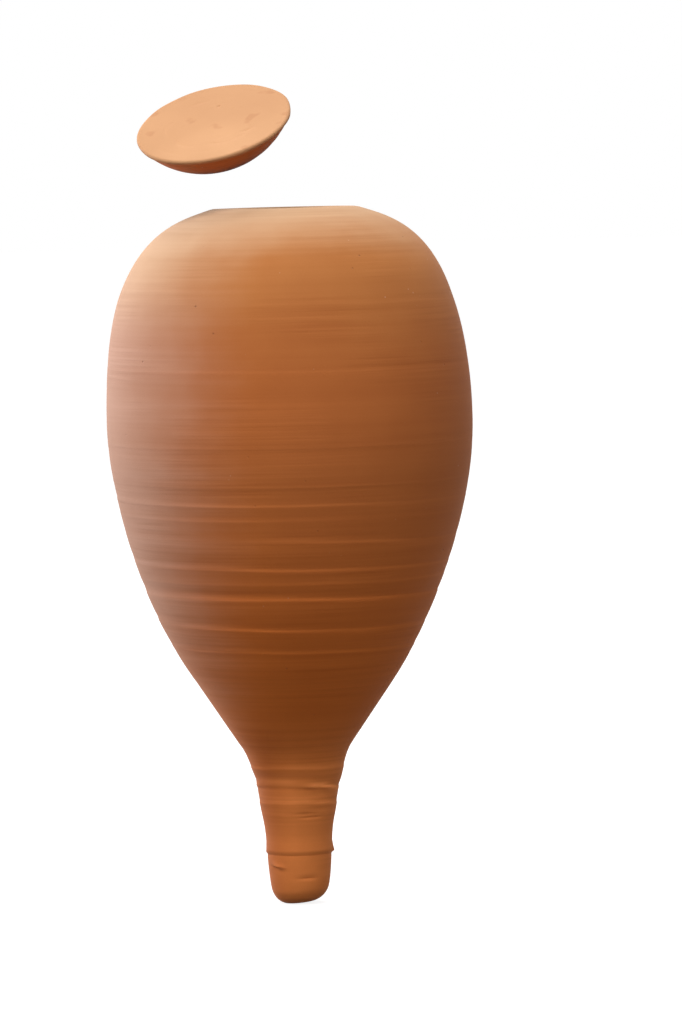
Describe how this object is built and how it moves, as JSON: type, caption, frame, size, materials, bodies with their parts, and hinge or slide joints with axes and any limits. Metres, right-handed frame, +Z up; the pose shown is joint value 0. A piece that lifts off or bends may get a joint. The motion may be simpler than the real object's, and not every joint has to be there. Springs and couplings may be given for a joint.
{
  "type": "irrigation olla",
  "caption": "Unglazed clay watering vessel with a pear-shaped belly, a flat-lipped mouth with a separate bowl-shaped lid, and a solid tail that is pushed into the soil.",
  "frame": {"origin": "middle of the tail's tip, on the pot's axis", "axes": "+Z up along the pot's axis to the mouth, -Y towards the viewer, +X to the right"},
  "size_m": [0.132, 0.132, 0.2947],
  "materials": {
    "terracotta": "unglazed terracotta, matt, with fine throwing lines",
    "terracotta_lid": "unglazed terracotta, matt, slightly paler"
  },
  "bodies": {
    "root": {"pot_body": "terracotta", "lid": "terracotta_lid"}
  },
  "joints": []
}
